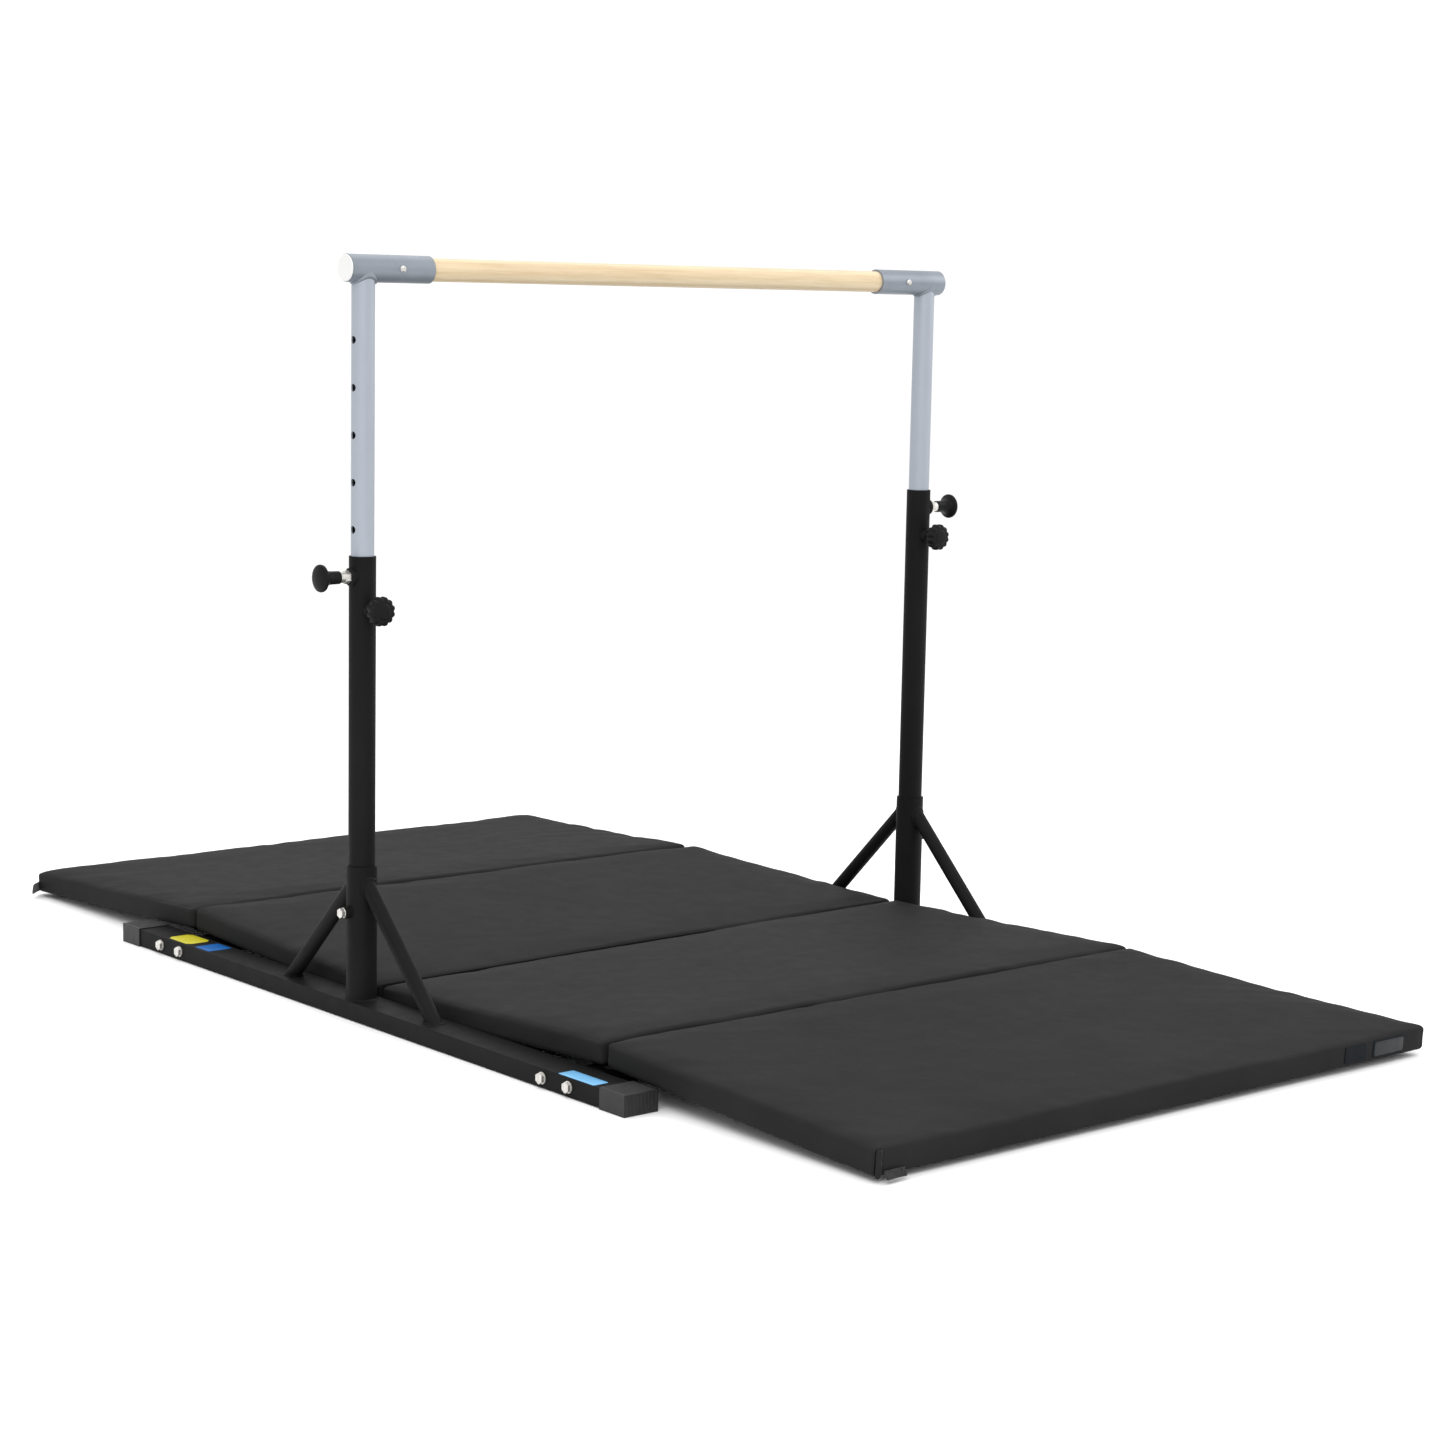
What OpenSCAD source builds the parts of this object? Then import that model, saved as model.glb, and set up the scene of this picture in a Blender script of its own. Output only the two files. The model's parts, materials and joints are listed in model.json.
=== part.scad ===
// Height-adjustable horizontal training bar with a four-panel folding mat.
// Millimetres, +Z up. The origin is on the floor, under the middle of the bar.
// X runs along the bar, Y runs along the legs and the mat.
// "left" is -X, "right" is +X, "front" is -Y, "back" is +Y.

/* [Posts] */
// Distance between the two post axes
post_gap = 1245; // [1235:1:1300]
// Outside diameter of the sliding inner posts
inner_od = 38.1; // [36:0.1:38.1]
// Wall of the inner posts
inner_wall = 2.5; // [1.5:0.1:3]
// Outside diameter of the fixed outer tubes
outer_od = 44.4; // [44:0.1:44.6]
// Length of the outer tubes
outer_len = 734; // [720:1:745]
// Outside diameter of the base sockets
socket_od = 50.8; // [50:0.1:52]
// Height of the top of the base sockets above the floor
socket_top = 256; // [245:1:280]
// Distance between neighbouring height holes
hole_pitch = 76.2; // [76.2:0.1:76.4]
// Diameter of the height holes
hole_d = 12.6; // [12.4:0.1:13]
// Height of the left locking pin above the floor
pin_z = 733; // [725:1:740]

/* [Bar] */
// Height of the bar's axis above the floor
bar_z = 1228; // [1222:1:1232]
// Diameter of the wooden bar
bar_d = 37.8; // [36:0.1:38]
// Length of the wooden bar
bar_len = 1219; // [1180:1:1230]
// Outside diameter of the tees that hold the bar
tee_od = 45; // [45:0.1:46]
// Length of a tee
tee_len = 158; // [150:1:165]

/* [Base] */
// Length of a leg's steel tube
leg_len = 1474; // [1440:1:1480]
// Width of a leg
leg_w = 60; // [58:1:60]
// Height of a leg's tube
leg_h = 30; // [30:1:30]
// Distance between the centres of the two cross tubes
cross_gap = 1150; // [1146:1:1154]
// Distance between the two bolts of a cross tube's end plate
bolt_gap = 66; // [62:1:68]
// Reach of a brace's foot from the post axis
brace_reach = 212; // [190:1:225]
// Diameter of a brace
brace_d = 25.4; // [20:0.1:26]

/* [Mat] */
// Width of the mat
mat_w = 1178; // [1100:1:1178]
// Thickness of a panel
mat_t = 45; // [40:1:50]
// Length of each of the two middle panels
inner_panel = 601.5; // [600:0.5:602]
// Length of each of the two end panels
outer_panel = 604; // [560:1:610]
// How far the right leg squeezes in the fold side of each end panel
fold_tuck = 9; // [0:1:20]
// How far the front end panel spreads on the right at its free end
front_spread = 35; // [0:1:36]
// How far the back end panel spreads on the right at its free end
back_spread = 20; // [0:1:36]

/* [Hidden] */
$fn = 64;
eps = 0.01;
SIDES = [-1, 1];

post_x = post_gap / 2;
leg_wall = 2;
cap_wall = 2;
leg_z0 = cap_wall;
leg_top = leg_z0 + leg_h;
leg_mid = 17;
inner_r = inner_od / 2;
outer_r = outer_od / 2;
outer_bore = inner_r + 0.1;
socket_r = socket_od / 2;
socket_bore = outer_r + 0.15;
// The right outer tube stands one hole higher in its socket than the left one
outer_z0 = [leg_top + 0.2, leg_top + 0.2 + hole_pitch];
holes_below = 4;
holes_above = 5;
post_bottom = pin_z - 5 * hole_pitch + 1;

// Locking pin, measured outward from the post axis
boss_r = 15;
boss_end = 27;
barrel_end = 45;
barrel_thread_r = 7.9;
pin_nose_r = 6;
pin_tip = inner_r + 0.35;
pin_rod_r = 4;
chamber_r = 7.2;
chamber_in = 26;
chamber_out = 43.5;
shoulder_in = chamber_in + 8.1;
shoulder_out = shoulder_in + 1.5;
pin_knob_end = 87;

// Clamp screw, measured forward from the post axis
clamp_drop = 52.5;
clamp_boss_end = 30;
clamp_boss_r = 12.2;
stud_r = 5;
pad_r = 4.8;
pad_in = inner_r + 0.05;
pad_out = pad_in + 3;
clamp_knob_in = 46;
clamp_knob_out = 65;
clamp_knob_r = 24.6;

// Socket set bolt
set_z = 180;
set_nut_end = 34;

// Leg bolts and cross tubes
bolt_r = 5;
bolt_flange_r = 9.5;
cross_w = 40;
cross_h = 25;
cross_z0 = 3;
plate_t = 5;
plate_w = 100;
plate_z0 = 6;
plate_h = 21;
nut_t = 8;

// End caps
cap_in = 685;
cap_out = 745;
rib_count = 9;

tee_x = post_x + 32.5;
tee_bore = bar_d / 2 + 0.3;
plug_head = 2.5;
screw_x = 561;
screw_r = 3;

// Mat: the inner panels rise from the middle to the cross tubes, the outer ones fall away
mid_y = 3;
mid_z = 56;
fold_y = 609;
fold_z = 36;
mid_bottom = mid_z - mat_t;
end_z = 3;
inner_slope = asin((fold_z - mid_bottom) / inner_panel);
outer_slope = asin((fold_z - end_z) / outer_panel);
function panel_tuck(outer) = outer ? fold_tuck : 0;
function panel_spread(e, outer) = outer ? (e < 0 ? front_spread : back_spread) : 0;
cover_t = 2;
core_gap = 0.3;

BLACK = [0.13, 0.13, 0.13];
STEEL = [0.68, 0.70, 0.74];
GREY = [0.50, 0.53, 0.57];
ZINC = [0.80, 0.80, 0.80];
BEECH = [0.93, 0.85, 0.68];
VINYL = [0.20, 0.20, 0.20];
FOAM = [0.85, 0.85, 0.80];
PLASTIC = [0.10, 0.10, 0.10];

// ---- Placing ----

// Height of the locking pin on a side
function side_pin_z(s) = pin_z + (s > 0 ? hole_pitch : 0);

// Children drawn along +Z point outward, away from the other post
module outward(s, z) {
  translate([s * post_x, 0, z]) rotate([0, s * 90, 0]) children();
}

// Children drawn along +Z point forward, towards -Y
module forward(s, z) {
  translate([s * post_x, 0, z]) rotate([90, 0, 0]) children();
}

// The eight places of the leg bolts; children point outward from the post axis
module leg_bolt_places() {
  for (s = SIDES, e = SIDES, b = SIDES) {
    translate([s * post_x, e * cross_gap / 2 + b * bolt_gap / 2, leg_mid])
      rotate([0, s * 90, 0]) children();
  }
}

module tube(r_out, r_in, h) {
  difference() {
    cylinder(r = r_out, h = h);
    translate([0, 0, -1]) cylinder(r = r_in, h = h + 2);
  }
}

module ring_shaft(r, z0, z1) {
  translate([0, 0, z0]) cylinder(r = r, h = z1 - z0);
}

// ---- Base frame ----

module leg(s) {
  color(BLACK) difference() {
    translate([s * post_x - leg_w / 2, -leg_len / 2, leg_z0]) cube([leg_w, leg_len, leg_h]);
    translate([s * post_x - leg_w / 2 + leg_wall, -leg_len / 2 - 1, leg_z0 + leg_wall])
      cube([leg_w - 2 * leg_wall, leg_len + 2, leg_h - 2 * leg_wall]);
    leg_bolt_places() ring_shaft(bolt_r + 0.25, -leg_w, leg_w);
  }
}

module leg_cap(s, e) {
  cap_w = leg_w + 2 * cap_wall;
  rib_pitch = (cap_w - 8) / (rib_count - 1);
  color(PLASTIC) translate([s * post_x, 0, 0]) mirror([0, e < 0 ? 1 : 0, 0]) {
    difference() {
      translate([-cap_w / 2, cap_in, 0]) cube([cap_w, cap_out - cap_in, leg_top + cap_wall]);
      translate([-leg_w / 2 - 0.1, cap_in - 1, leg_z0 - 0.1])
        cube([leg_w + 0.2, leg_len / 2 - cap_in + 1.2, leg_h + 0.2]);
    }
    for (i = [0 : rib_count - 1]) {
      translate([-cap_w / 2 + 3 + i * rib_pitch, cap_out - eps, 3])
        cube([2, 1.2, leg_top + cap_wall - 6]);
    }
  }
}

module socket(s) {
  color(BLACK) difference() {
    translate([s * post_x, 0, leg_top]) tube(socket_r, socket_bore, socket_top - leg_top);
    outward(s, set_z) ring_shaft(bolt_r + 0.1, socket_bore - 2, socket_r + 2);
  }
}

// Straight 45 degree rod from a brace's foot to the post axis
module brace_rod(s, e, r) {
  translate([s * post_x, e * brace_reach, leg_top]) rotate([e * 45, 0, 0])
    translate([0, 0, -2 * r]) cylinder(r = r, h = brace_reach * sqrt(2) + 2 * r);
}

module brace(s, e) {
  color(BLACK) difference() {
    brace_rod(s, e, brace_d / 2);
    translate([s * post_x - 50, -300, leg_top - 60]) cube([100, 600, 60]);
    translate([s * post_x, 0, leg_top]) cylinder(r = socket_r, h = 300);
  }
}

module frame_welds() {
  bead = 2.6;
  gap = 0.12;
  color(BLACK) for (s = SIDES) {
    translate([s * post_x, 0, leg_top]) difference() {
      cylinder(r1 = socket_r + bead, r2 = socket_r + 0.4, h = bead);
      translate([0, 0, -1]) cylinder(r = socket_r + gap, h = bead + 2);
    }
    for (e = SIDES) {
      difference() {
        intersection() {
          brace_rod(s, e, brace_d / 2 + bead);
          translate([s * post_x - 29, -300, leg_top]) cube([58, 600, bead]);
        }
        brace_rod(s, e, brace_d / 2 + gap);
      }
      difference() {
        intersection() {
          brace_rod(s, e, brace_d / 2 + bead);
          translate([s * post_x, 0, leg_top]) tube(socket_r + bead, socket_r + gap, socket_top - leg_top);
        }
        brace_rod(s, e, brace_d / 2 + gap);
        translate([s * post_x - 50, -300, leg_top - 1]) cube([100, 600, bead + 2]);
      }
    }
  }
}

module cross_tube(e) {
  plate_x = post_x - leg_w / 2;
  color(BLACK) difference() {
    translate([0, e * cross_gap / 2, 0]) union() {
      difference() {
        translate([-plate_x + plate_t, -cross_w / 2, cross_z0])
          cube([2 * (plate_x - plate_t), cross_w, cross_h]);
        translate([-plate_x, -cross_w / 2 + leg_wall, cross_z0 + leg_wall])
          cube([2 * plate_x, cross_w - 2 * leg_wall, cross_h - 2 * leg_wall]);
      }
      for (s = SIDES) {
        translate([s * (plate_x - plate_t / 2) - plate_t / 2, -plate_w / 2, plate_z0])
          cube([plate_t, plate_w, plate_h]);
      }
    }
    leg_bolt_places() ring_shaft(bolt_r + 0.25, -leg_w, leg_w);
  }
}

module leg_bolts() {
  color(ZINC) leg_bolt_places() {
    ring_shaft(bolt_r - 0.05, -leg_w / 2 - plate_t - nut_t, leg_w / 2 + eps);
    ring_shaft(bolt_flange_r, leg_w / 2, leg_w / 2 + 2);
    translate([0, 0, leg_w / 2 + 2 - eps]) cylinder(r = 8.9, h = 5.5, $fn = 6);
  }
}

module cross_nuts() {
  color(ZINC) leg_bolt_places() translate([0, 0, -leg_w / 2 - plate_t - nut_t]) difference() {
    cylinder(r = 9.2, h = nut_t, $fn = 6);
    translate([0, 0, -1]) cylinder(r = bolt_r, h = nut_t + 2);
  }
}

module socket_nuts() {
  color(BLACK) for (s = SIDES) difference() {
    outward(s, set_z) difference() {
      ring_shaft(10.5, socket_r - 4, set_nut_end);
      ring_shaft(bolt_r + 0.02, 0, set_nut_end + 1);
    }
    translate([s * post_x, 0, set_z - 20]) cylinder(r = socket_r + eps, h = 40);
  }
}

module socket_bolts() {
  color(ZINC) for (s = SIDES) outward(s, set_z) {
    ring_shaft(bolt_r - 0.05, outer_r + 0.05, set_nut_end + 2.5);
    ring_shaft(8.6, set_nut_end + 1.5, set_nut_end + 2.6);
    translate([0, 0, set_nut_end + 2.5]) cylinder(r = 8.6, h = 6.4, $fn = 6);
  }
}

module outer_tube(s) {
  z0 = outer_z0[s > 0 ? 1 : 0];
  color(BLACK) difference() {
    translate([s * post_x, 0, z0]) tube(outer_r, outer_bore, outer_len);
    outward(s, side_pin_z(s)) ring_shaft(hole_d / 2, outer_bore - 4, outer_r + 4);
    forward(s, side_pin_z(s) - clamp_drop) ring_shaft(stud_r + 0.5, outer_bore - 4, outer_r + 4);
  }
}

module pin_bosses() {
  color(BLACK) for (s = SIDES) difference() {
    outward(s, side_pin_z(s)) difference() {
      union() {
        ring_shaft(boss_r, inner_r - 4, boss_end - 2);
        translate([0, 0, boss_end - 2]) cylinder(r1 = boss_r, r2 = boss_r - 2, h = 2);
      }
      ring_shaft(barrel_thread_r + 0.05, 0, boss_end + 1);
    }
    translate([s * post_x, 0, side_pin_z(s) - 40]) cylinder(r = outer_r + eps, h = 80);
  }
}

module clamp_bosses() {
  color(BLACK) for (s = SIDES) difference() {
    forward(s, side_pin_z(s) - clamp_drop) difference() {
      union() {
        ring_shaft(clamp_boss_r, inner_r - 4, clamp_boss_end - 2);
        translate([0, 0, clamp_boss_end - 2]) cylinder(r1 = clamp_boss_r, r2 = clamp_boss_r - 2, h = 2);
      }
      ring_shaft(stud_r + 0.06, 0, clamp_boss_end + 1);
    }
    translate([s * post_x, 0, side_pin_z(s) - clamp_drop - 30]) cylinder(r = outer_r + eps, h = 60);
  }
}

// Threaded zinc housing of a locking pin: hexagon near the boss, round end with the spring inside
module pin_barrel(s) {
  color(ZINC) outward(s, side_pin_z(s)) difference() {
    union() {
      ring_shaft(barrel_thread_r, outer_r + 0.4, boss_end + eps);
      translate([0, 0, boss_end]) cylinder(r = 11, h = 9, $fn = 6);
      ring_shaft(9, boss_end + 9 - eps, barrel_end);
    }
    ring_shaft(pin_nose_r + 0.05, 0, chamber_in + eps);
    ring_shaft(chamber_r, chamber_in, chamber_out);
    ring_shaft(pin_rod_r + 0.05, 0, barrel_end + 1);
  }
}

// Ring of points round the spring's wire at angle a along the coil
function wire_ring(a, coil_r, wire_r, z, sides) = [for (k = [0 : sides - 1])
  let (t = 360 * k / sides, r = coil_r + wire_r * cos(t))
  [r * cos(a), r * sin(a), z + wire_r * sin(t)]];

module pin_spring(s) {
  turns = 4;
  steps = 14;
  sides = 6;
  wire_r = 0.5;
  z0 = shoulder_out + wire_r + 0.1;
  z1 = chamber_out - wire_r - 0.1;
  n = turns * steps;
  pts = [for (i = [0 : n]) each wire_ring(360 * i / steps, 5.6, wire_r, z0 + (z1 - z0) * i / n, sides)];
  faces = concat(
    [[for (k = [0 : sides - 1]) k]],
    [for (i = [0 : n - 1], k = [0 : sides - 1]) let (j = (k + 1) % sides)
      [i * sides + k, (i + 1) * sides + k, (i + 1) * sides + j, i * sides + j]],
    [[for (k = [sides - 1 : -1 : 0]) n * sides + k]]);
  color(ZINC) outward(s, side_pin_z(s)) polyhedron(points = pts, faces = faces, convexity = 8);
}

module leg_labels() {
  label_t = 0.3;
  for (l = [["gold", -24, 524, 48, 72], ["royalblue", -24, 452, 48, 48], ["deepskyblue", -29.5, -668, 29, 88]]) {
    color(l[0]) translate([-post_x + l[1], l[2], leg_top + eps]) cube([l[3], l[4], label_t]);
  }
}

// ---- Locking pins ----

module pull_pin(s) {
  color(STEEL) outward(s, side_pin_z(s)) {
    translate([0, 0, pin_tip]) cylinder(r1 = pin_nose_r - 1.2, r2 = pin_nose_r, h = 1.2);
    ring_shaft(pin_nose_r, pin_tip + 1.2 - eps, shoulder_in + eps);
    ring_shaft(chamber_r - 0.2, shoulder_in, shoulder_out);
    ring_shaft(pin_rod_r, shoulder_out - eps, 70);
  }
}

// Black mushroom knob whose skirt slides over the round end of the barrel
module pin_knob(s) {
  color(PLASTIC) outward(s, side_pin_z(s)) rotate_extrude($fn = 72) difference() {
    polygon(concat(
      [[0, barrel_end + 0.5], [10.6, barrel_end + 0.5], [10.8, 60]],
      [for (a = [0 : 15 : 75]) [22 - 11.2 * cos(a), 60 + 16 * sin(a)]],
      [[22.2, 77.5], [22.6, 80], [22, 82.5]],
      [for (a = [20 : 14 : 90]) [21.4 * cos(a), 81.5 + (pin_knob_end - 81.5) * sin(a)]],
      [[0, pin_knob_end]]));
    translate([-1, 40]) square([10.4, 16]);
    translate([-1, 40]) square([1 + pin_rod_r + 0.02, 30.1]);
  }
}

// ---- Clamp screws ----

module clamp_pad(s) {
  color([0.9, 0.9, 0.85]) forward(s, side_pin_z(s) - clamp_drop) ring_shaft(pad_r, pad_in, pad_out);
}

module clamp_stud(s) {
  color(ZINC) forward(s, side_pin_z(s) - clamp_drop) ring_shaft(stud_r, pad_out + 0.05, clamp_knob_out - 7);
}

module clamp_knob(s) {
  lobes = 10;
  color(PLASTIC) forward(s, side_pin_z(s) - clamp_drop) difference() {
    union() {
      ring_shaft(9, clamp_knob_in - 5, clamp_knob_in + 1);
      ring_shaft(clamp_knob_r, clamp_knob_in, clamp_knob_out - 3);
      translate([0, 0, clamp_knob_out - 3 - eps]) cylinder(r1 = clamp_knob_r, r2 = clamp_knob_r - 4, h = 3);
    }
    for (i = [0 : lobes - 1]) {
      rotate(360 * i / lobes) translate([clamp_knob_r + 5, 0, 0]) cylinder(r = 6.6, h = 100, $fn = 32);
    }
    ring_shaft(stud_r + 0.02, 0, clamp_knob_out - 6.9);
  }
}

// ---- Sliding bar assembly ----

module tee_axis_rod(r, len) {
  translate([-len / 2, 0, bar_z]) rotate([0, 90, 0]) cylinder(r = r, h = len);
}

module inner_post(s) {
  color(STEEL) difference() {
    translate([s * post_x, 0, post_bottom]) tube(inner_r, inner_r - inner_wall, bar_z - post_bottom);
    tee_axis_rod(tee_od / 2 + eps, 2000);
    for (k = [-holes_below : holes_above]) {
      outward(s, pin_z + k * hole_pitch) ring_shaft(hole_d / 2, inner_r - 6, inner_r + 4);
    }
  }
}

module tee(s) {
  color(GREY) difference() {
    translate([s > 0 ? tee_x - tee_len : -tee_x, 0, bar_z]) rotate([0, 90, 0])
      tube(tee_od / 2, tee_bore, tee_len);
    translate([s * screw_x, 0, bar_z]) rotate([90, 0, 0]) cylinder(r = screw_r + 0.1, h = tee_od);
  }
}

module tee_plug(s) {
  color("white") translate([s * tee_x, 0, bar_z]) rotate([0, s * 90, 0]) {
    ring_shaft(tee_bore - 0.05, -25, eps);
    ring_shaft(tee_od / 2 - 0.8, 0, plug_head - 1);
    translate([0, 0, plug_head - 1 - eps])
      cylinder(r1 = tee_od / 2 - 0.8, r2 = tee_od / 2 - 2.3, h = 1);
  }
}

module tee_welds() {
  bead = 2.8;
  color(GREY) for (s = SIDES) intersection() {
    translate([s * post_x, 0, bar_z - 60]) tube(inner_r + bead, inner_r + eps, 60);
    difference() {
      tee_axis_rod(tee_od / 2 + bead, 2000);
      tee_axis_rod(tee_od / 2 + 2 * eps, 2001);
    }
  }
}

module wooden_bar() {
  color(BEECH) difference() {
    translate([-bar_len / 2, 0, bar_z]) rotate([0, 90, 0]) cylinder(r = bar_d / 2, h = bar_len);
    for (s = SIDES) {
      translate([s * screw_x, 0, bar_z]) rotate([90, 0, 0]) cylinder(r = screw_r + 0.02, h = tee_od);
    }
  }
}

module bar_screws() {
  color(ZINC) for (s = SIDES) translate([s * screw_x, 0, bar_z]) rotate([90, 0, 0]) {
    ring_shaft(screw_r, 2, tee_od / 2 + 1);
    ring_shaft(5.5, tee_od / 2 + 0.1, tee_od / 2 + 1.2);
    translate([0, 0, tee_od / 2 + 1.2 - eps]) cylinder(r1 = 5.2, r2 = 3.6, h = 2.4);
  }
}

// ---- Mat ----

// A panel's own frame: X across, Y away from the middle, Z up, hinge corner at the origin
module panel_place(e, outer) {
  mirror([0, e < 0 ? 1 : 0, 0]) {
    if (outer) {
      translate([0, fold_y, fold_z]) rotate([-outer_slope, 0, 0]) children();
    } else {
      translate([0, mid_y, mid_z]) rotate([inner_slope, 0, 0]) translate([0, 0, -mat_t]) children();
    }
  }
}

// Tuck and spread move the right edge in at the fold and out at the free end
module panel_block(len, inset, tuck, spread) {
  translate([0, 0, inset]) linear_extrude(mat_t - 2 * inset) polygon([
    [-mat_w / 2 + inset, inset],
    [mat_w / 2 - inset - tuck, inset],
    [mat_w / 2 - inset + spread, len - inset],
    [-mat_w / 2 + inset, len - inset]]);
}

module mat_cover(e, outer) {
  len = outer ? outer_panel : inner_panel;
  tuck = panel_tuck(outer);
  spread = panel_spread(e, outer);
  color(VINYL) panel_place(e, outer) difference() {
    panel_block(len, 0, tuck, spread);
    panel_block(len, cover_t, tuck, spread);
  }
}

module mat_core(e, outer) {
  len = outer ? outer_panel : inner_panel;
  tuck = panel_tuck(outer);
  spread = panel_spread(e, outer);
  color(FOAM) panel_place(e, outer) panel_block(len, cover_t + core_gap, tuck, spread);
}

module mat_hinge_strip() {
  color(VINYL) translate([-mat_w / 2 + 4, -mid_y + 0.6, mid_z - 1.8]) cube([mat_w - 8, 2 * mid_y - 1.2, 1.5]);
}

// Hook-and-loop closing flap hanging from the lower edge of an end
module mat_flap(e, x) {
  color(VINYL) panel_place(e, true) translate([x, outer_panel + 0.3, 1]) cube([90, 1.5, 24]);
}

module mat_patch() {
  color([0.16, 0.16, 0.16]) panel_place(-1, true) {
    translate([mat_w / 2 - 169, outer_panel + 0.2, 9]) cube([55, 0.8, 27]);
    translate([mat_w / 2 - 99, outer_panel + 0.2, 8]) cube([80, 0.8, 29]);
  }
}

leg(-1);  // leg_left
leg(1);  // leg_right
leg_cap(-1, -1);  // cap_left_front
leg_cap(-1, 1);  // cap_left_back
leg_cap(1, -1);  // cap_right_front
leg_cap(1, 1);  // cap_right_back
socket(-1);  // socket_left
socket(1);  // socket_right
brace(-1, -1);  // brace_left_front
brace(-1, 1);  // brace_left_back
brace(1, -1);  // brace_right_front
brace(1, 1);  // brace_right_back
frame_welds();
cross_tube(-1);  // cross_tube_front
cross_tube(1);  // cross_tube_back
leg_bolts();
cross_nuts();
socket_nuts();
socket_bolts();
outer_tube(-1);  // outer_tube_left
outer_tube(1);  // outer_tube_right
pin_bosses();
clamp_bosses();
pin_barrel(-1);  // pin_barrel_left
pin_barrel(1);  // pin_barrel_right
pin_spring(-1);  // pin_spring_left
pin_spring(1);  // pin_spring_right
leg_labels();
pull_pin(-1);  // pull_pin_left
pull_pin(1);  // pull_pin_right
pin_knob(-1);  // pin_knob_left
pin_knob(1);  // pin_knob_right
clamp_stud(-1);  // clamp_stud_left
clamp_stud(1);  // clamp_stud_right
clamp_knob(-1);  // clamp_knob_left
clamp_knob(1);  // clamp_knob_right
clamp_pad(-1);  // clamp_pad_left
clamp_pad(1);  // clamp_pad_right
inner_post(-1);  // inner_post_left
inner_post(1);  // inner_post_right
tee(-1);  // tee_left
tee(1);  // tee_right
tee_plug(-1);  // tee_plug_left
tee_plug(1);  // tee_plug_right
tee_welds();
wooden_bar();
bar_screws();
mat_core(-1, true);  // mat_core_front_outer
mat_core(-1, false);  // mat_core_front_inner
mat_core(1, false);  // mat_core_back_inner
mat_core(1, true);  // mat_core_back_outer
mat_cover(-1, true);  // mat_cover_front_outer
mat_cover(-1, false);  // mat_cover_front_inner
mat_cover(1, false);  // mat_cover_back_inner
mat_cover(1, true);  // mat_cover_back_outer
mat_hinge_strip();
mat_flap(-1, -mat_w / 2 + 10);  // mat_flap_front
mat_flap(1, -mat_w / 2 + 10);  // mat_flap_back
mat_patch();
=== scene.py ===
import json
import math

import bmesh
import bpy
import numpy as np
from mathutils import Matrix, Vector, noise


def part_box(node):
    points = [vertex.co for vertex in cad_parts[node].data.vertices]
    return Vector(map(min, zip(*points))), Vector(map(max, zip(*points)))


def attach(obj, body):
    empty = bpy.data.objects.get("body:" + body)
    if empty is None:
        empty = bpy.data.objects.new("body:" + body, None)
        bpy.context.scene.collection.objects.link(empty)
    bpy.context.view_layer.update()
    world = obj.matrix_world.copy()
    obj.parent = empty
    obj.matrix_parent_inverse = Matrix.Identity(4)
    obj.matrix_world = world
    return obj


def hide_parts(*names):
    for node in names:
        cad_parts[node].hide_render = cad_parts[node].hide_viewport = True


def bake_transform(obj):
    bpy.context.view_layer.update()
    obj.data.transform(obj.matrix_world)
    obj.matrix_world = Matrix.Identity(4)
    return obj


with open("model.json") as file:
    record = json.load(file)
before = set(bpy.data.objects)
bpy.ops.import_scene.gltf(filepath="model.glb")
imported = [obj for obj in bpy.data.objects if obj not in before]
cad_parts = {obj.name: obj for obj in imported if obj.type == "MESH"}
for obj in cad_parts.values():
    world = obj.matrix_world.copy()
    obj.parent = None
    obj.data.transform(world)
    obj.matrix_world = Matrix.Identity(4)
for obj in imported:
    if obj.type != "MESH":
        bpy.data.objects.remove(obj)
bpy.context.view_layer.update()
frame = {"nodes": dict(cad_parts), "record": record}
NODES = frame["nodes"]
SIDES = {"left": -1, "right": 1}


# ---- Materials ----

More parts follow.
